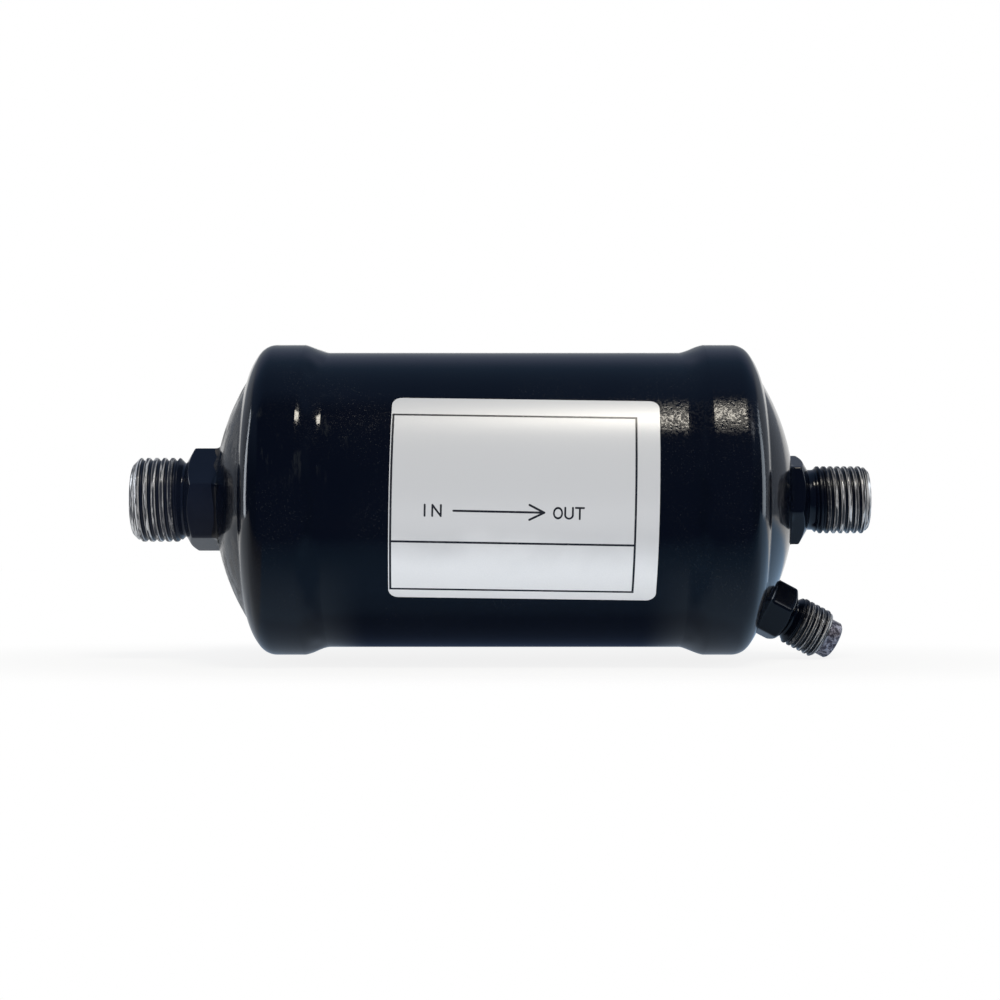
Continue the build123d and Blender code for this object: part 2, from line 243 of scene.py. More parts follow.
def waviness(t, x, seed, waves=7):
    """Smooth uneven height from about -1 to 1 that closes round the axis.

    A sum of sin(k t + q x + phase) with a whole number k of waves a turn, each phase seeded.
    """
    draw = np.random.default_rng(seed)
    total = np.zeros(np.broadcast(t, x).shape)
    for k in range(1, waves + 1):
        q, phase = draw.uniform(-0.5, 0.5), draw.uniform(0, 2 * math.pi)
        total += np.sin((2 * k + 1) * t + q * x + phase) / math.sqrt(waves)
    return total


def shell_tube():
    """Plain tube: outer wall, end faces and bore, carried round X."""
    bore = tube_radius - tube_wall
    outer = line((-tube_half, tube_radius), (tube_half, tube_radius), 60)
    inner = line((tube_half, bore), (-tube_half, bore), 12)
    return ring_object("painted_tube", revolved(np.vstack([outer, inner])))


def cap(name, side, hole_radius):
    """Pressed cap: its outer wall line and back along the inner one, carried round X."""
    outer = wall_line(0, hole_radius)
    inner = wall_line(cap_wall, hole_radius)[::-1]
    return ring_object(name, revolved(np.vstack([outer, inner]), side=side))


def drill(piece, place, diameter, low, high):
    """Cuts a round hole along a connector's axis through a piece."""
    t = angles(48)
    radius = np.array([[0.01], [diameter / 2], [diameter / 2], [0.01]])
    height = np.array([[low], [low], [high], [high]])
    cutter = ring_object("cutter", placed(radius, t, height, place))
    cut = piece.modifiers.new("port_hole", "BOOLEAN")
    cut.solver = "EXACT"
    cut.object = cutter
    bpy.context.view_layer.update()
    whole = bpy.data.meshes.new_from_object(piece.evaluated_get(bpy.context.evaluated_depsgraph_get()))
    piece.modifiers.clear()
    piece.data = whole
    whole.shade_smooth()
    whole.set_sharp_from_angle(angle=CREASE_ANGLE)
    bpy.data.objects.remove(cutter)


def seam_weld(name, side, seed):
    """Weld bead from the cap's rim down to the tube, carried round X.

    Its face is a cubic curve, full at the rim and hollow at the toe: sums of (1-s)^3, 3s(1-s)^2,
    3s^2(1-s) and s^3 times four corners. It is raised and lowered by a smooth waviness.
    """
    s = np.linspace(0, 1, 18)[:, None, None]
    t = angles(ROUND_COLUMNS)[None, :]
    toe = 1 + 0.035 * waviness(t, 0, seed, 12)
    corners_x = [0 * toe, 0.30 * weld_leg * toe, 0.68 * weld_leg * toe, weld_leg * np.minimum(toe, 1)]
    corners_r = [cap_radius - 0.02, cap_radius - 0.30, tube_radius + 0.25, tube_radius]
    weights = [(1 - s) ** 3, 3 * s * (1 - s) ** 2, 3 * s**2 * (1 - s), s**3]
    x = sum(w[:, :, 0] * c for w, c in zip(weights, corners_x))
    r = sum(w[:, :, 0] * c for w, c in zip(weights, corners_r)) + 0 * x
    swell = np.sin(math.pi * s[:, :, 0]) ** 2
    r = r + 0.07 * swell * waviness(t, 2 * x, seed + 1, 11)
    root = np.stack([np.zeros_like(t[0]), np.full_like(t[0], tube_radius)], axis=-1)
    x = side * (rim_x - np.vstack([x, root[:, 0]]))
    r = np.vstack([r, root[:, 1]])
    return ring_object(name, np.stack([x, -r * np.cos(t), r * np.sin(t)], axis=-1))


# Connectors. A place is an origin and three axes, with the third along the connector.
inlet_place = np.array([[-land_x, 0, 0], [0, -1, 0], [0, 0, 1], [-1, 0, 0]], float)
outlet_place = np.array([[land_x, 0, 0], [0, 1, 0], [0, 0, 1], [1, 0, 0]], float)


def port_seat():
    """Place on the outlet cap's crown, square to it, rolled back about X.

    It is lifted by a hair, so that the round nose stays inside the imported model's faceted one.
    """
    a, b = math.radians(port_angle), math.radians(port_roll)
    x, r = crown_centre_x + crown_radius * math.cos(a), crown_radius * math.sin(a)
    flat = np.array([
        [x, 0, -r], [math.sin(a), 0, math.cos(a)], [0, -1, 0], [math.cos(a), 0, -math.sin(a)],
    ])
    roll = np.array([[1, 0, 0], [0, math.cos(b), -math.sin(b)], [0, math.sin(b), math.cos(b)]])
    seat = flat @ roll.T
    seat[0, 2] += facet_allowance
    return seat


port_place = port_seat()


def placed(r, t, z, place):
    """Points at radius r, angle t and height z of a place: o + r cos t e1 + r sin t e2 + z e3."""
    r, t, z = np.broadcast_arrays(r, t, z)
    local = np.stack([r * np.cos(t), r * np.sin(t), z], axis=-1)
    return place[0] + local @ place[1:]


def soft_min(*radii, sharpness=70):
    """The least of several radii with the corner between them eased: (sum of r^-p)^(-1/p)."""
    return sum(np.maximum(r, 1e-3) ** -float(sharpness) for r in radii) ** (-1 / sharpness)


def hexagon(t, sizes):
    """Radius of a hexagon with eased corners: half the flats over (sum of cos(t - side)^p)^(1/p)."""
    sharpness = sizes["sharpness"]
    total = 0
    for side in range(6):
        total = total + np.maximum(np.cos(t - math.radians(sizes["roll"] + 30 + 60 * side)), 0) ** sharpness
    return sizes["flats"] / 2 / total ** (1 / sharpness)


def thread(z, t, start, sizes):
    """Radius of a right-hand thread: a ridge that climbs one pitch a turn.

    The phase is (z - start) / pitch - t / 2 pi. Its distance from the nearest ridge runs from 0 to 1,
    and the flank falls by the depth between the flat crest and the rounded root.
    """
    phase = (z - start) / sizes["pitch"] - t / (2 * math.pi)
    away = np.abs(2 * (phase - np.round(phase)))
    fall = np.clip((away - 0.27) / 0.58, 0, 1)
    fall = 0.6 * fall + 0.4 * fall**2 * (3 - 2 * fall)
    return sizes["thread_d"] / 2 - sizes["depth"] * fall


def stem_rows(t, sizes, hex_end):
    """Heights and radii of the outer rows past the hexagon: neck, thread and chamfered end."""
    neck, major = sizes["neck_d"] / 2, sizes["thread_d"] / 2
    neck_end = hex_end + sizes["neck_length"]
    thread_end = neck_end + sizes["thread_length"]
    run_in = major - neck
    z = np.linspace(neck_end - run_in / 2, thread_end, 190)[:, None]
    ramp_in = neck + np.maximum(z - (neck_end - run_in / 2), 0)
    ramp_out = major - (z - (thread_end - sizes["chamfer"]))
    r = soft_min(thread(z, t, neck_end + sizes["first_crest"], sizes), ramp_in, ramp_out, sharpness=110)
    r[0] = neck
    shelf = np.array([[hex_end], [hex_end + 0.25], [neck_end - run_in / 2 - 0.2]])
    return np.vstack([shelf + 0 * t, z + 0 * t]), np.vstack([np.array([[neck + 0.25], [neck], [neck]]) + 0 * t, r])


def hexagon_rows(t, sizes, bottom):
    """Heights and radii of the hexagon's rows, from its foot to its turned-down end face.

    The radius is the lesser of the hexagon's and a cone that falls to the round face.
    """
    end = sizes["hex_length"]
    bar = hexagon(t, sizes)
    slope = math.tan(math.radians(hex_chamfer_angle))
    reach = (sizes["flats"] / math.sqrt(3) - sizes["face_d"] / 2) * slope
    lower = bottom + np.linspace(0, 1, 12)[:, None] * (end - reach - 0.3 - bottom)
    upper = np.linspace(end - reach - 0.3, end, 34)[1:, None] + 0 * t
    z = np.vstack([lower + 0 * t, upper])
    cone = sizes["face_d"] / 2 + (end - z) / slope
    return z, soft_min(bar + 0 * z, cone, sharpness=sizes["sharpness"])


def bore_rows(t, sizes, end, foot):
    """Heights and radii of the rows from the end face through the bore and back up the spigot."""
    bore, inner_end = sizes["bore_d"] / 2, -cap_wall - spigot_reach
    spigot = sizes["spigot_d"] / 2
    z = [end, end - bore_chamfer, inner_end, inner_end]
    r = [bore + bore_chamfer, bore, bore, spigot]
    z, r = np.array(z)[:, None] + 0 * t, np.array(r)[:, None] + 0 * t
    return np.vstack([z, foot + 0 * t]), np.vstack([r, spigot + 0 * t])


def line_connector(name, sizes, place):
    """Inlet or outlet connector: hexagon, relief neck, thread, end face, bore and spigot in one turn."""
    t = angles(THREAD_COLUMNS)[None, :] + math.radians(sizes["roll"])
    hex_z, hex_r = hexagon_rows(t, sizes, 0 * t)
    stem_z, stem_r = stem_rows(t, sizes, sizes["hex_length"])
    bore_z, bore_r = bore_rows(t, sizes, stem_z[-1, 0], 0 * t)
    z, r = np.vstack([hex_z, stem_z, bore_z]), np.vstack([hex_r, stem_r, bore_r])
    return ring_object(name, placed(r, t, z, place), math.radians(50))


def crown_height(r, t):
    """Height along the oil return's axis at which its line at (r, t) meets the cap's outer face.

    Found by halving: a point is inside while its distance from X is under the wall line's radius there.
    """
    profile = wall_line(0, 0.0)
    r, t = np.broadcast_arrays(r, t)
    low, high = np.full(r.shape, -12.0), np.full(r.shape, 4.0)
    for _ in range(40):
        middle = (low + high) / 2
        x, y, z = np.moveaxis(placed(r, t, middle, port_place), -1, 0)
        inside = np.hypot(y, z) < np.interp(x, profile[:, 0], profile[:, 1], right=0)
        low, high = np.where(inside, middle, low), np.where(inside, high, middle)
    return low


def oil_return_connector():
    """Small connector: its hexagon's foot follows the cap, and a plain nose stands beyond its thread."""
    t = angles(PORT_COLUMNS)[None, :] + math.radians(PORT["roll"])
    bar = hexagon(t, PORT)
    hex_z, hex_r = hexagon_rows(t, PORT, crown_height(bar, t) - 0.1)
    stem_z, stem_r = stem_rows(t, PORT, PORT["hex_length"])
    base = stem_z[-1, 0]
    end = base + nose_length
    nose_z = np.array([base, base, end - PORT["chamfer"], end - 0.15, end])
    nose = nose_d / 2
    nose_r = np.array([nose + 0.15, nose, nose, nose - 0.3, nose - PORT["chamfer"]])
    bore_z, bore_r = bore_rows(t, PORT, end, crown_height(PORT["spigot_d"] / 2, t) - 0.1)
    under_r = PORT["spigot_d"] / 2 + np.array([[0.33], [0.66]]) * (bar - PORT["spigot_d"] / 2)
    under_z = crown_height(under_r, t + 0 * under_r) - 0.1
    z = np.vstack([hex_z, stem_z, nose_z[:, None] + 0 * t, bore_z, under_z])
    r = np.vstack([hex_r, stem_r, nose_r[:, None] + 0 * t, bore_r, under_r])
    return ring_object("painted_oil_return", placed(r, t, z, port_place), math.radians(50))


def fillet(foot_z, foot_r, top_z, top_r, corner_z, corner_r):
    """Rows of a hollow fillet from its top to its foot, then back to the corner that it fills.

    The face is the curve (1-s)^2 top + 2 s (1-s) corner + s^2 foot.
    """
    s = np.linspace(0, 1, 10)[:, None]
    weights = (1 - s) ** 2, 2 * s * (1 - s), s**2
    z = weights[0] * top_z + weights[1] * corner_z + weights[2] * foot_z
    r = weights[0] * top_r + weights[1] * corner_r + weights[2] * foot_r
    return np.vstack([z, corner_z - 0.03]), np.vstack([r, corner_r - 0.03])


def land_braze(name, sizes, place, seed):
    """Braze fillet round a hexagon on a cap's land, a little uneven round its length."""
    t = angles(THREAD_COLUMNS)[None, :]
    bar = hexagon(t, sizes)
    leg = braze_leg * (0.72 + 0.22 * waviness(t, 0, seed))
    z, r = fillet(0 * t, bar + leg, leg, bar, 0 * t, bar)
    return ring_object(name, placed(r, t, z, place))


def oil_return_braze():
    """Braze fillet between the small hexagon and the curved cap, fuller on the shell's side."""
    t = angles(THREAD_COLUMNS)[None, :]
    bar = hexagon(t, PORT)
    leg = braze_leg * (0.75 + 0.2 * waviness(t, 0, 31))
    corner = crown_height(bar, t)
    z, r = fillet(crown_height(bar + leg, t), bar + leg, corner + leg, bar, corner, bar)
    return ring_object("oil_return_fillet", placed(r, t, z, port_place))


def label():
    """Foil label rolled on the tube: a rounded rectangle, turned a little, with thickness.

    A point (u, v) of the flat label lies at x = u cos a + v sin a and at the angle (v cos a - u sin a) / R
    above the front of the tube. Half its width at v is w/2 - c + sqrt(c^2 - (|v| - h/2 + c)^2) in the
    corners. Both faces carry (u, v) from 0 to 1 as their map.
    """
    half_w, half_h = label_length / 2, label_height / 2
    bend = np.linspace(0, math.pi / 2, 9)
    ends = half_h - label_corner + label_corner * np.sin(bend)
    v = np.concatenate([-ends[::-1], np.linspace(-ends[0], ends[0], 74)[1:-1], ends])
    over = np.clip(np.abs(v) - half_h + label_corner, 0, label_corner)
    width = half_w - label_corner + np.sqrt(np.maximum(label_corner**2 - over**2, 0))
    u = np.linspace(-1, 1, 81)[None, :] * width[:, None]
    v = np.repeat(v[:, None], u.shape[1], axis=1)
    turn = math.radians(label_turn)
    x = label_shift_x + u * math.cos(turn) + v * math.sin(turn)
    a = (label_shift_z + v * math.cos(turn) - u * math.sin(turn)) / tube_radius
    faces = []
    for r in (tube_radius + label_foil, tube_radius + 0.01):
        faces.append(np.stack([x, -r * np.cos(a), r * np.sin(a)], axis=-1))
    rows, columns = u.shape
    top = grid_quads(rows, columns, False, False)
    index = np.arange(rows * columns).reshape(rows, columns)
    edge = np.concatenate([index[0, :-1], index[:-1, -1], index[-1, :0:-1], index[:0:-1, 0]])
    following, under = np.roll(edge, -1), rows * columns
    rim = np.stack([edge, edge + under, following + under, following], axis=-1)
    quads = np.vstack([top, top[:, ::-1] + under, rim])
    points = np.concatenate([face.reshape(-1, 3) for face in faces])
    piece = mesh_object("foil_label", points, quads)
    across = np.tile(u.ravel() / label_length + 0.5, 2)
    along = np.tile(v.ravel() / label_height + 0.5, 2)
    corner_points = np.zeros(len(piece.data.loops), np.int32)
    piece.data.loops.foreach_get("vertex_index", corner_points)
    flat = piece.data.uv_layers.new(name="flat_label")
    flat.data.foreach_set("uv", np.stack([across, along], axis=-1)[corner_points].astype(np.float32).ravel())
    return piece


# Materials


class Value:
    """A number in a node tree. Arithmetic on it adds Math nodes."""

    def __init__(self, graph, socket):
        self.graph = graph
        self.socket = socket

    def __add__(self, other):
        return self.graph.math("ADD", self, other)

    def __radd__(self, other):
        return self.graph.math("ADD", other, self)

    def __sub__(self, other):
        return self.graph.math("SUBTRACT", self, other)

    def __rsub__(self, other):
        return self.graph.math("SUBTRACT", other, self)

    def __mul__(self, other):
        return self.graph.math("MULTIPLY", self, other)

    def __rmul__(self, other):
        return self.graph.math("MULTIPLY", other, self)

    def __truediv__(self, other):
        return self.graph.math("DIVIDE", self, other)

    def __rtruediv__(self, other):
        return self.graph.math("DIVIDE", other, self)

    def __pow__(self, other):
        return self.graph.math("POWER", self, other)


class Graph:
    """A node tree, with one method that makes any node and a few short forms of it."""

    def __init__(self, tree):
        self.tree = tree
        tree.nodes.clear()

    def node(self, kind, settings=None, **inputs):
        """A node of one kind, with its settings first and then its sockets' values or links.

        A socket is named by its label with spaces as underscores, or by its number as _0, _1.
        """
        made = self.tree.nodes.new(kind)
        for name, value in (settings or {}).items():
            setattr(made, name, value)
        for name, value in inputs.items():
            key = int(name[1:]) if name[0] == "_" else name.replace("_", " ")
            self.feed(made.inputs[key], value)
        return made

    def feed(self, socket, value):
        """Links a socket to what feeds it, or sets its value."""
        if isinstance(value, Value):
            value = value.socket
        if isinstance(value, bpy.types.NodeSocket):
            self.tree.links.new(value, socket)
        else:
            socket.default_value = value

    def math(self, operation, *values, clamp=False):
        inputs = {f"_{k}": value for k, value in enumerate(values)}
        made = self.node("ShaderNodeMath", {"operation": operation, "use_clamp": clamp}, **inputs)
        return Value(self, made.outputs[0])

    def vector(self, operation, *values, out="Vector", **named):
        inputs = {f"_{k}": value for k, value in enumerate(values)}
        made = self.node("ShaderNodeVectorMath", {"operation": operation}, **inputs, **named)
        return Value(self, made.outputs[out])

    def least(self, *values):
        result = values[0]
        for value in values[1:]:
            result = self.math("MINIMUM", result, value)
        return result

    def most(self, *values):
        result = values[0]
        for value in values[1:]:
            result = self.math("MAXIMUM", result, value)
        return result

    def step(self, value, low, high, start=0.0, end=1.0):
        """Smooth step of a value, from start below low to end above high."""
        settings = {"interpolation_type": "SMOOTHSTEP"}
        made = self.node(
            "ShaderNodeMapRange", settings, Value=value, From_Min=low, From_Max=high, To_Min=start, To_Max=end
        )
        return Value(self, made.outputs["Result"])

    def noise(self, where, scale, detail=2.0, roughness=0.5, stretch=None):
        """Cloudy noise from 0 to 1, with scale in features a metre, stretched by a factor along each axis."""
        if stretch:
            where = self.vector("MULTIPLY", where, stretch)
        made = self.node("ShaderNodeTexNoise", None, Vector=where, Scale=scale, Detail=detail, Roughness=roughness)
        return Value(self, made.outputs[0])

    def blend(self, factor, first, second):
        """Colour between two colours."""
        made = self.node("ShaderNodeMix", {"data_type": "RGBA"}, _0=factor, _6=first, _7=second)
        return Value(self, made.outputs[2])

    def parts(self, vector):
        made = self.node("ShaderNodeSeparateXYZ", None, _0=vector)
        return [Value(self, socket) for socket in made.outputs]


def rgb(red, green, blue):
    """A colour in linear light, with full alpha."""
    return (red, green, blue, 1.0)


def new_material(name):
    """An empty node material and its graph."""
    material = bpy.data.materials.new(name)
    material.use_nodes = True
    return material, Graph(material.node_tree)


def finish_material(graph, height=None, distance=1e-5, **inputs):
    """Principled surface with the given sockets, and a bump of a height over a distance in metres."""
    shader = graph.node("ShaderNodeBsdfPrincipled", None, **inputs)
    if height is not None:
        bump = graph.node("ShaderNodeBump", None, Height=height, Distance=distance)
        graph.feed(shader.inputs["Normal"], bump.outputs[0])
    out = graph.node("ShaderNodeOutputMaterial")
    graph.feed(out.inputs["Surface"], shader.outputs[0])


def place_of(graph):
    """Object coordinates, which are the part's own frame in metres."""
    return Value(graph, graph.node("ShaderNodeTexCoord").outputs["Object"])


PAINT_IOR = 1.36
BLACK = rgb(0.0011, 0.0019, 0.0050)
NAVY = rgb(0.0044, 0.0066, 0.0140)
DUSTY = rgb(0.0034, 0.0048, 0.0092)
# Pale scuff colour, which also stands in for a painted reflection on the inlet crown
SCUFF_AND_REFLECTION = rgb(0.062, 0.058, 0.055)


def peel(graph, where):
    """Height of orange peel: fine dimples on slower swells."""
    return graph.noise(where, 1500, 1.5) * 0.45 + graph.noise(where, 420, 1.0)


def shell_paint():
    """Glossy black paint with a blue cast, orange peel, dust, grit high on the right and a scuffed inlet cap that also
    carries a painted reflection.
    """
    material, graph = new_material("shell_paint_gloss")
    where = place_of(graph)
    x, y, z = graph.parts(where)
    dusty_patch = graph.step(graph.noise(where, 45, 2), 0.42, 0.62)
    dust = graph.step(graph.noise(where, 2600, 3, 0.65), 0.60, 0.72) * dusty_patch
    gritty = graph.step(x, 0.0, 0.030) * graph.step(z, 0.0135, 0.0160) * graph.step(z, 0.0215, 0.0240, 1, 0)
    gritty = gritty * graph.step(x, 0.0555, 0.0585, 1, 0)
    grains = graph.noise(where, 1500, 2, 0.6)
    cloud = graph.noise(where, 22, 3, 0.6)
    inlet_crown = graph.step(x, -0.0610, -0.0600, 1, 0)
    streaky = graph.noise(where, 420, 4, 0.7, (1.0, 1.0, 0.40))
    level = graph.math("ABSOLUTE", z) + 0.014 * (graph.noise(where, 170, 3, 0.6) - 0.5)
    # Scuff on the inlet crown, laid out as a painted reflection: paler above and below the fitting, with a dark band
    # beside it on the front
    scuff_and_reflection = inlet_crown * graph.most(graph.step(level, 0.0055, 0.0125), graph.step(y, -0.004, 0.006, 0, 0.8))
    scuff_and_reflection = scuff_and_reflection * graph.step(streaky, 0.34, 0.62)
    smear = graph.step(graph.noise(where, 260, 4, 0.7, (1.6, 1.0, 0.30)), 0.55, 0.72)
    smear = smear * graph.step(z, 0.0005, 0.0090) * graph.step(z, 0.0215, 0.0250, 1, 0) * graph.step(x, -0.030, -0.042)
    colour = graph.blend(graph.step(cloud, 0.35, 0.75, 0, 0.35), BLACK, DUSTY)
    colour = graph.blend(dust * 0.35, colour, rgb(0.05, 0.055, 0.055))
    colour = graph.blend(smear * 0.28, colour, rgb(0.030, 0.034, 0.034))
    colour = graph.blend(scuff_and_reflection * 0.80, colour, SCUFF_AND_REFLECTION)
    fleck = graph.step(graph.noise(where, 1500, 4, 0.7, (1.0, 2.2, 2.2)), 0.50, 0.64)
    rough = 0.045 + 0.05 * cloud + 0.20 * dust + 0.12 * fleck + 0.30 * scuff_and_reflection + 0.10 * smear
    rough = rough + 0.30 * gritty * graph.step(grains, 0.42, 0.58)
    height = peel(graph, where) + 0.5 * scuff_and_reflection * streaky + 7.0 * gritty * grains
    finish_material(
        graph, height, 9e-6, Base_Color=colour, Roughness=rough, IOR=PAINT_IOR,
    )
    return material


def connector_paint(name, sizes, place, bare_from, bare_to, tone, nose_from=None):
    """Black paint on a connector, worn to bare steel on the thread's edges towards its free end.

    Height and radius are read from the connector's own axis, which the frame gives.
    """
    material, graph = new_material(name)
    where = place_of(graph)
    origin, axis = tuple(place[0] * MM), tuple(place[3])
    offset = graph.vector("SUBTRACT", where, origin)
    height = graph.vector("DOT_PRODUCT", offset, axis, out="Value")
    along = graph.vector("SCALE", axis, Scale=height)
    radius = graph.vector("LENGTH", graph.vector("SUBTRACT", offset, along), out="Value")
    major = sizes["thread_d"] / 2 * MM
    patchy = graph.noise(where, 1100, 4, 0.7)
    flattened = graph.vector("ADD", graph.vector("SCALE", offset, Scale=0.07), graph.vector("SCALE", along, Scale=0.93))
    streaks = graph.noise(flattened, 2600, 2, 0.6)
    wear = graph.step(height + 0.004 * (patchy - 0.5), bare_from * MM, bare_to * MM)
    edge = graph.step(radius, major - 0.32 * MM, major - 0.18 * MM)
    crest = graph.step(radius, major - 0.07 * MM, major - 0.03 * MM)
    bare = edge * wear * (1 - crest * graph.step(streaks, 0.54, 0.62, 0.95, 0.35))
    end = sizes["hex_length"] + sizes["neck_length"] + sizes["thread_length"]
    ring = graph.step(height, (end - sizes["chamfer"] - 0.1) * MM, (end - sizes["chamfer"] + 0.15) * MM)
    bare = graph.most(bare, ring * graph.step(streaks, 0.44, 0.60, 0.10, 0.85))
    cloud = graph.noise(where, 120, 3, 0.6)
    colour = graph.blend(graph.step(cloud, 0.3, 0.8), tone, [value * 1.25 for value in tone[:3]] + [1.0])
    steel = graph.blend(graph.step(streaks, 0.36, 0.60), rgb(0.34, 0.34, 0.35), rgb(0.92, 0.91, 0.90))
    if nose_from is not None:
        nose = graph.step(height, (nose_from - 0.05) * MM, (nose_from + 0.05) * MM)
        bare = graph.most(bare, nose)
        oxide = graph.blend(graph.step(patchy, 0.42, 0.60), rgb(0.075, 0.065, 0.080), rgb(0.42, 0.385, 0.42))
        steel = graph.blend(nose, steel, oxide)
    colour = graph.blend(bare, colour, steel)
    neck_end = sizes["hex_length"] + sizes["neck_length"]
    threaded = graph.step(height, neck_end * MM, (neck_end + 0.5) * MM)
    rough = 0.12 + 0.08 * cloud + 0.16 * threaded
    finish_material(
        graph, peel(graph, where) + 0.6 * bare * patchy, 9e-6, Base_Color=colour, Roughness=rough,
        Metallic=bare * 0.6, IOR=PAINT_IOR,
    )
    return material


# Print of the label, in millimetres from its middle, u to the right and v up
BORDER = (-29.7, 24.85, -21.9, 19.45)
DIVIDER_V = -10.05
PRINT_LINE = 0.245
LETTER_LINE = 0.22
LETTER_HEIGHT = 2.45
ARROW = ((-15.7, -2.92), (4.5, -2.98))
ARROW_BARB = (3.3, 1.65)


def strokes():
    """Straight strokes of the arrow and of the letters I, N, U and T, as (start, end, half width)."""
    tip = ARROW[1]
    drawn = [(ARROW[0], tip, PRINT_LINE)]
    for side in (-1, 1):
        drawn.append(((tip[0] - ARROW_BARB[0], tip[1] + side * ARROW_BARB[1]), tip, PRINT_LINE))
    low, high = -4.15, -4.15 + LETTER_HEIGHT
    drawn.append(((-22.1, low), (-22.1, high), LETTER_LINE))
    drawn.append(((-20.4, low), (-20.4, high), LETTER_LINE))
    drawn.append(((-20.4, high), (-18.5, low), LETTER_LINE))
    drawn.append(((-18.5, low), (-18.5, high), LETTER_LINE))
    low, high = -4.25, -4.25 + LETTER_HEIGHT
    drawn.append(((9.15, low + 0.85), (9.15, high), LETTER_LINE))
    drawn.append(((10.85, low + 0.85), (10.85, high), LETTER_LINE))
    drawn.append(((11.5, high), (13.3, high), LETTER_LINE))
    drawn.append(((12.4, low), (12.4, high), LETTER_LINE))
    return drawn


def stroke_ink(graph, point, start, end, half):
    """Ink of one stroke: 1 where the distance to the segment is under half its width.

    The nearest point is start + h (end - start), with h the clamped share (p - start).d / d.d.
    """
    run = (end[0] - start[0], end[1] - start[1], 0)
    length = run[0] ** 2 + run[1] ** 2
    offset = graph.vector("SUBTRACT", point, (start[0], start[1], 0))
    share = graph.math("MULTIPLY", graph.vector("DOT_PRODUCT", offset, run, out="Value"), 1 / length, clamp=True)
    gap = graph.vector("DISTANCE", offset, graph.vector("SCALE", run, Scale=share), out="Value")
    return graph.step(gap, half - 0.04, half + 0.04, 1, 0)


def oval_ink(graph, u, v, centre, half_w, half_h, lower_only=False):
    """Ink of an oval ring: |sqrt((u/a)^2 + (v/b)^2) - 1| times the mean radius, under the line's half."""
    du, dv = (u - centre[0]) / half_w, (v - centre[1]) / half_h
    gap = graph.math("ABSOLUTE", graph.math("SQRT", du * du + dv * dv) - 1) * ((half_w + half_h) / 2)
    ink = graph.step(gap, LETTER_LINE - 0.04, LETTER_LINE + 0.04, 1, 0)
    return ink * graph.step(dv, 0.0, 0.02, 1, 0) if lower_only else ink


def frame_ink(graph, u, v):
    """Ink of the border and of the line that divides it: distances to a box's edge and to a line."""
    left, right, low, high = BORDER
    out_u = graph.math("ABSOLUTE", u - (left + right) / 2) - (right - left) / 2
    out_v = graph.math("ABSOLUTE", v - (low + high) / 2) - (high - low) / 2
    edge = graph.math("ABSOLUTE", graph.most(out_u, out_v))
    divider = graph.most(graph.math("ABSOLUTE", v - DIVIDER_V), out_u)
    return graph.step(graph.least(edge, divider), PRINT_LINE - 0.04, PRINT_LINE + 0.04, 1, 0)


def label_foil_material():
    """Satin silver-white foil with painted light that makes it paler at its foot, and the border, arrow and flow words
    in dark ink.
    """
    material, graph = new_material("label_foil_satin")
    flat = graph.node("ShaderNodeUVMap", {"uv_map": "flat_label"}).outputs[0]
    centred = graph.vector("SUBTRACT", flat, (0.5, 0.5, 0))
    point = graph.vector("MULTIPLY", centred, (label_length, label_height, 0))
    u, v, _ = graph.parts(point)
    inks = [frame_ink(graph, u, v)]
    for start, end, half in strokes():
        inks.append(stroke_ink(graph, point, start, end, half))
    inks.append(oval_ink(graph, u, v, (7.55, -3.03), 0.92, 1.15))
    inks.append(oval_ink(graph, u, v, (10.0, -3.40), 0.85, 0.80, lower_only=True))
    ink = graph.most(*inks)
    where = place_of(graph)
    speckle = graph.noise(where, 5200, 2, 0.6)
    cloud = graph.noise(where, 60, 3, 0.55)
    ink = ink * graph.step(graph.noise(where, 2500, 2), 0.28, 0.42, 0.92, 1.0)
    # Painted light: the foil is paler towards its foot, as if lit from below
    foil = graph.blend(graph.step(v + 8 * cloud, -14, -3), rgb(0.82, 0.825, 0.835), rgb(0.555, 0.56, 0.57))
    foil = graph.blend(graph.step(speckle, 0.35, 0.65, 0, 0.10), foil, rgb(0.52, 0.52, 0.53))
    colour = graph.blend(ink, foil, rgb(0.012, 0.013, 0.018))
    rough = 0.29 + 0.06 * cloud - 0.05 * ink
    height = graph.noise(where, 700, 2) + 0.3 * speckle - 0.4 * ink
    finish_material(
        graph, height, 6e-6, Base_Color=colour, Roughness=rough, Metallic=0.12 * (1 - ink), IOR=1.42,
    )
    return material


def plain_metal(name, dark, light, rough, grain, stretch=None):
    """Metal with fine grain: its colour, roughness and bump follow one noise."""
    material, graph = new_material(name)
    where = place_of(graph)
    fine = graph.noise(where, grain, 3, 0.6, stretch)
    cloud = graph.noise(where, 70, 3)
    finish_material(
        graph, fine, 8e-6, Base_Color=graph.blend(fine, dark, light), Roughness=rough + 0.15 * cloud,
        Metallic=1.0,
    )
    return material


def wire_mesh_material():
    """Knitted wire: two crossed wave patterns a wire apart, with painted shade between the loops."""
    material, graph = new_material("knitted_wire_mesh")
    where = place_of(graph)
    waves = []
    for direction in ("X", "Y", "Z"):
        settings = {"wave_type": "BANDS", "bands_direction": direction}
        wave = graph.node("ShaderNodeTexWave", settings, Vector=where, Scale=260, Distortion=3.0, Detail=1.0)
        waves.append(Value(graph, wave.outputs["Fac"]))
    loops = graph.most(*waves)
    # Painted shade: the colour goes dark between the loops
    colour = graph.blend(graph.step(loops, 0.5, 0.95), rgb(0.03, 0.03, 0.03), rgb(0.55, 0.55, 0.54))
    finish_material(graph, loops, 3e-4, Base_Color=colour, Roughness=0.34 + 0.1 * loops, Metallic=0.9)
    return material


# The studio


BEHIND_WIDE = math.sin(math.radians(36))
BEHIND_HIGH = math.sin(math.radians(13))


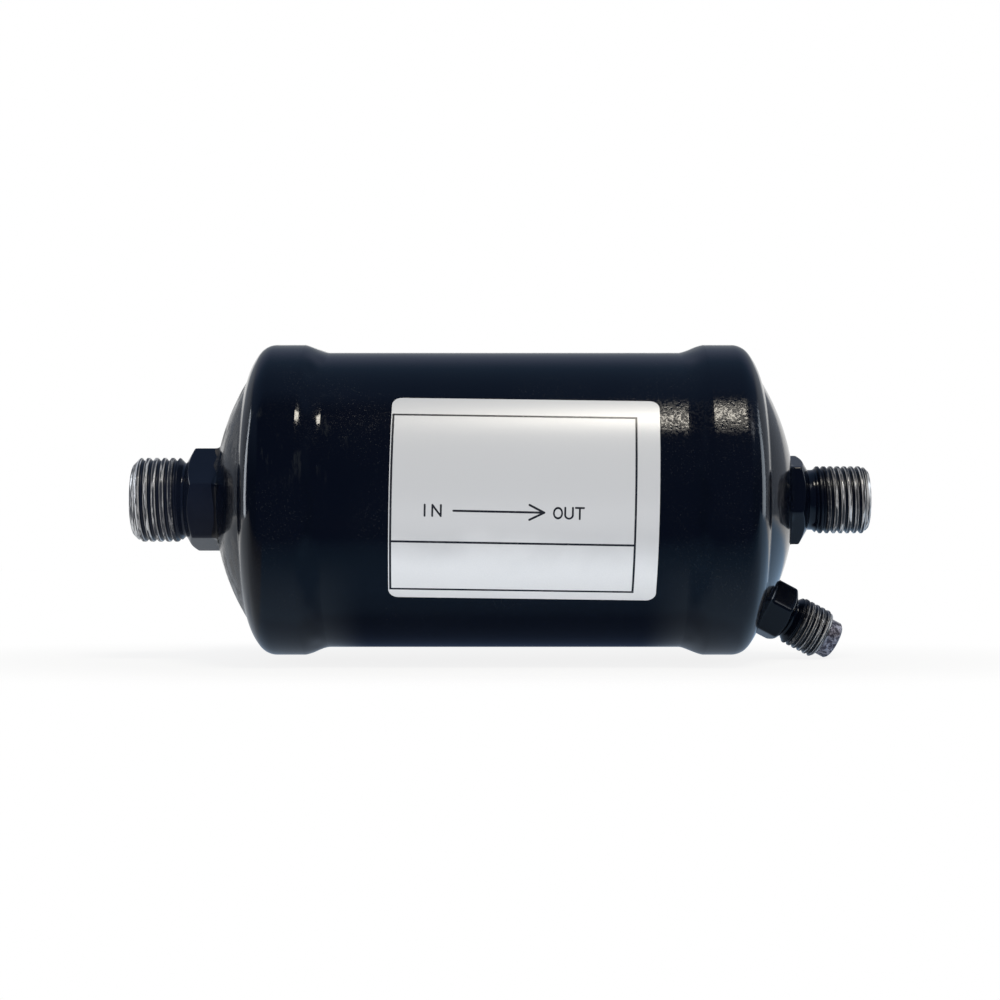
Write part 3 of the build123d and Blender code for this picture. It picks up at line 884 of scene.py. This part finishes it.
def studio_world():
    """White where the camera looks past the object, and a dim room with a pale wall in the gloss.

    The room's colour follows the angle round X, from the camera's side (0) up over the top to the wall
    behind (1). Glossy and transmitted rays also see the white that lies behind the object.
    """
    world = bpy.data.worlds.new("small_studio")
    bpy.context.scene.world = world
    world.use_nodes = True
    world.cycles.sampling_method = "NONE"
    graph = Graph(world.node_tree)
    x, y, z = graph.parts(graph.node("ShaderNodeTexCoord").outputs["Generated"])
    path = graph.node("ShaderNodeLightPath")
    camera = Value(graph, path.outputs["Is Camera Ray"])
    gloss = graph.most(Value(graph, path.outputs["Is Glossy Ray"]), Value(graph, path.outputs["Is Transmission Ray"]))
    around = graph.math("ARCTAN2", z, 0 - y) / math.pi
    ramp = graph.node("ShaderNodeValToRGB", None, Fac=graph.math("ABSOLUTE", around))
    stops = [
        (0.00, rgb(0.040, 0.060, 0.130)), (0.40, rgb(0.040, 0.060, 0.125)), (0.49, rgb(0.11, 0.18, 0.33)),
        (0.68, rgb(0.12, 0.20, 0.33)), (0.76, rgb(0.21, 0.26, 0.39)), (0.90, rgb(0.27, 0.31, 0.37)),
        (1.00, rgb(0.22, 0.23, 0.24)),
    ]
    elements = ramp.color_ramp.elements
    while len(elements) < len(stops):
        elements.new(0.5)
    for element, (position, colour) in zip(elements, stops):
        element.position = position
        element.color = colour
    beside = graph.step(graph.math("ABSOLUTE", x), 0.52, 0.72)
    side = graph.blend(graph.step(z, 0.1, 0.7), rgb(0.030, 0.048, 0.085), rgb(0.12, 0.18, 0.30))
    room = graph.blend(beside, ramp.outputs[0], side)
    forward = graph.math("GREATER_THAN", y, 0.0)
    spread = graph.math("SQRT", (x / BEHIND_WIDE) ** 2 + (z / BEHIND_HIGH) ** 2)
    behind = graph.step(spread, 0.92, 1.06, 1, 0) * forward
    flank = graph.step(graph.math("ABSOLUTE", x), 0.78, 0.90, 1, 0) * graph.step(z, 0.30, 0.55, 1, 0) * forward
    seen = graph.blend(flank, room, rgb(0.30, 0.33, 0.38))
    seen = graph.blend(behind, seen, rgb(1, 1, 1))
    colour = graph.blend(gloss, rgb(0.44, 0.455, 0.47), seen)
    colour = graph.blend(camera, colour, rgb(1, 1, 1))
    background = graph.node("ShaderNodeBackground", None, Color=colour, Strength=1.0)
    out = graph.node("ShaderNodeOutputWorld")
    graph.feed(out.inputs["Surface"], background.outputs[0])


FLOOR_FRONT = -0.095
FLOOR_BACK = 0.70
FLOOR_HALF = 0.55
FLOOR_FADE = 0.045


def studio_floor():
    """Pale sheet under the object, lifted to white for the camera away from the object's shadow. In reflections only it
    shows a painted reflection, with a painted shadow under the shell and a painted glow.
    """
    z = part_low[2] * MM - 0.0003
    mesh = bpy.data.meshes.new("floor")
    corners = [
        (-FLOOR_HALF, FLOOR_FRONT, z), (FLOOR_HALF, FLOOR_FRONT, z),
        (FLOOR_HALF, FLOOR_BACK, z), (-FLOOR_HALF, FLOOR_BACK, z),
    ]
    mesh.from_pydata(corners, [], [(0, 1, 2, 3)])
    floor = bpy.data.objects.new("floor", mesh)
    bpy.context.scene.collection.objects.link(floor)
    material, graph = new_material("floor_pale")
    where = place_of(graph)
    x, y, _ = graph.parts(where)
    path = graph.node("ShaderNodeLightPath")
    camera = Value(graph, path.outputs["Is Camera Ray"])
    gloss = graph.most(Value(graph, path.outputs["Is Glossy Ray"]), Value(graph, path.outputs["Is Transmission Ray"]))
    near = graph.vector("LENGTH", graph.vector("MULTIPLY", where, (5.0, 12.0, 0)), out="Value")
    away = graph.step(near, 0.45, 1.0)
    lift = graph.most(camera * (0.86 + 0.14 * away), gloss * graph.step(y, 0.15, 0.30))
    # Seen only in reflections, the floor's colour is a painted reflection: warm past the inlet, blue elsewhere, with a
    # painted shadow under the middle of the shell
    ends = graph.step(graph.math("ABSOLUTE", x), 0.032, 0.044)
    shaded = graph.step(y, -0.036, -0.014) * (1 - ends)
    mirrored = graph.blend(graph.step(x, -0.066, -0.060), rgb(0.36, 0.35, 0.33), rgb(0.19, 0.36, 0.57))
    mirrored = graph.blend(shaded, mirrored, rgb(0.07, 0.12, 0.20))
    tone = graph.blend(gloss, rgb(0.84, 0.845, 0.85), mirrored)
    paper = graph.node("ShaderNodeBsdfDiffuse", None, Color=tone)
    # Painted glow, seen only in reflections: the floor under the shell glows faintly, more towards the shell's ends
    painted_glow = graph.blend(ends, rgb(0.045, 0.065, 0.12), rgb(0.24, 0.28, 0.34))
    painted_glow = graph.blend(gloss * graph.step(y, -0.062, -0.030), rgb(0, 0, 0), painted_glow)
    glow = graph.node("ShaderNodeEmission", None, Color=painted_glow, Strength=1.0)
    ground = graph.node("ShaderNodeAddShader", None, _0=paper.outputs[0], _1=glow.outputs[0])
    white = graph.node("ShaderNodeEmission", None, Color=rgb(1, 1, 1), Strength=1.0)
    lifted = graph.node("ShaderNodeMixShader", None, _0=lift, _1=ground.outputs[0], _2=white.outputs[0])
    inset = graph.least(y - FLOOR_FRONT, FLOOR_BACK - y, FLOOR_HALF - graph.math("ABSOLUTE", x))
    clear = graph.node("ShaderNodeBsdfTransparent")
    whole = graph.step(inset, 0.0, FLOOR_FADE)
    mixed = graph.node("ShaderNodeMixShader", None, _0=whole, _1=clear.outputs[0], _2=lifted.outputs[0])
    out = graph.node("ShaderNodeOutputMaterial")
    graph.feed(out.inputs["Surface"], mixed.outputs[0])
    mesh.materials.append(material)


def lamp(name, place, target, size_x, size_y, power, colour, in_gloss=True):
    """Area lamp at a place, facing a target, with its power in watts."""
    light = bpy.data.lights.new(name, "AREA")
    light.shape = "RECTANGLE"
    light.size, light.size_y = size_x, size_y
    light.energy = power
    light.color = colour
    stand = bpy.data.objects.new(name, light)
    bpy.context.scene.collection.objects.link(stand)
    away = np.array(place) - np.array(target)
    pitch = math.atan2(math.hypot(away[0], away[1]), away[2])
    stand.location = place
    stand.rotation_euler = (pitch, 0, math.atan2(away[0], -away[1]))
    stand.visible_glossy = in_gloss
    return stand


LAMP_ELEVATION = math.radians(64)
LAMP_DISTANCE = 1.0


def studio_lamps():
    """A warm lamp high on the right for the streak, a dimmer one beyond it, one in front, and two at the sides.

    The side strips stand behind the object, out of sight, and draw the bright line down each cap's shoulder.
    """
    back, up = -LAMP_DISTANCE * math.cos(LAMP_ELEVATION), LAMP_DISTANCE * math.sin(LAMP_ELEVATION)
    lamp("warm_lamp", (0.19, back, up), (0.19, 0, 0), 0.30, 0.15, 4.0, (1.0, 0.94, 0.82))
    lamp("side_lamp", (0.95, back, up), (0.95, 0, 0), 0.50, 0.26, 1.1, (0.95, 0.97, 1.0))
    lamp("front_lamp", (-0.1, -1.15, -0.30), (0, 0, 0), 0.8, 0.5, 8.0, (0.97, 0.98, 1.0), in_gloss=False)
    lamp("left_strip", (-0.61, 0.235, 0.10), (-0.06, 0, 0.10), 0.09, 0.44, 0.65, (0.86, 0.92, 1.0))
    lamp("right_strip", (0.62, 0.225, 0.10), (0.06, 0, 0.10), 0.16, 0.44, 0.60, (0.80, 0.90, 1.0))


CAMERA_AT = (-0.0010, -0.5128, -0.00005)
CAMERA_LENS = 77.4


def studio_camera():
    """Level camera in front of the label."""
    camera = bpy.data.cameras.new("camera")
    camera.lens = CAMERA_LENS
    camera.sensor_width = 36.0
    camera.clip_start = 0.01
    stand = bpy.data.objects.new("camera", camera)
    bpy.context.scene.collection.objects.link(stand)
    stand.location = CAMERA_AT
    stand.rotation_euler = (math.pi / 2, 0, 0)
    bpy.context.scene.camera = stand


def stand_for(piece, node, material):
    """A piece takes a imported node's place, rides on the body and gets its finish."""
    piece.data.materials.append(material)
    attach(piece, "root")
    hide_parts(node)


def dress_outside():
    """Every piece that shows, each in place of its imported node."""
    paint = shell_paint()
    outlet_cap = cap("painted_outlet_cap", 1, OUTLET["spigot_d"] / 2)
    drill(outlet_cap, port_place, PORT["spigot_d"], -cap_wall - 3, 3)
    painted = {
        "shell_tube": shell_tube(),
        "inlet_cap": cap("painted_inlet_cap", -1, INLET["spigot_d"] / 2),
        "outlet_cap": outlet_cap,
        "inlet_seam_weld": seam_weld("inlet_weld_bead", -1, 5),
        "outlet_seam_weld": seam_weld("outlet_weld_bead", 1, 9),
        "inlet_braze": land_braze("inlet_fillet", INLET, inlet_place, 21),
        "outlet_braze": land_braze("outlet_fillet", OUTLET, outlet_place, 25),
        "oil_return_braze": oil_return_braze(),
    }
    for node, piece in painted.items():
        stand_for(piece, node, paint)
    inlet_end = INLET["hex_length"] + INLET["neck_length"] + INLET["thread_length"]
    outlet_end = OUTLET["hex_length"] + OUTLET["neck_length"] + OUTLET["thread_length"]
    port_thread_end = PORT["hex_length"] + PORT["neck_length"] + PORT["thread_length"]
    stand_for(
        line_connector("painted_inlet_connector", INLET, inlet_place), "inlet_connector",
        connector_paint("inlet_connector_paint", INLET, inlet_place, inlet_end - 11.0, inlet_end - 8.0, NAVY),
    )
    stand_for(
        line_connector("painted_outlet_connector", OUTLET, outlet_place), "outlet_connector",
        connector_paint("outlet_connector_paint", OUTLET, outlet_place, outlet_end - 11.0, outlet_end - 6.5, BLACK),
    )
    stand_for(
        oil_return_connector(), "oil_return_connector",
        connector_paint(
            "oil_return_paint", PORT, port_place, port_thread_end - 7.5, port_thread_end - 4.0, BLACK, port_thread_end
        ),
    )
    stand_for(label(), "label", label_foil_material())


def dress_inside():
    """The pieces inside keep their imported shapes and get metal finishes."""
    steel = plain_metal("inner_steel_satin", rgb(0.50, 0.50, 0.50), rgb(0.66, 0.66, 0.65), 0.30, 900)
    brass = plain_metal("insert_brass_turned", rgb(0.66, 0.49, 0.24), rgb(0.80, 0.63, 0.34), 0.24, 1200)
    wire = wire_mesh_material()
    finishes = {
        "inlet_diffuser": steel, "outlet_standpipe": steel, "oil_strainer": steel, "metering_insert": brass,
        "inlet_retaining_ring": steel, "inlet_screen": steel, "inlet_mesh_pad": wire, "pad_divider": steel,
        "outlet_mesh_pad": wire, "outlet_screen": steel, "outlet_retaining_ring": steel,
    }
    for node, material in finishes.items():
        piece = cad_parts[node]
        if not piece.material_slots:
            piece.data.materials.append(material)
        for slot in piece.material_slots:
            slot.material = material


bpy.context.scene.view_settings.view_transform = "Standard"
dress_outside()
dress_inside()
studio_world()
studio_floor()
studio_lamps()
studio_camera()
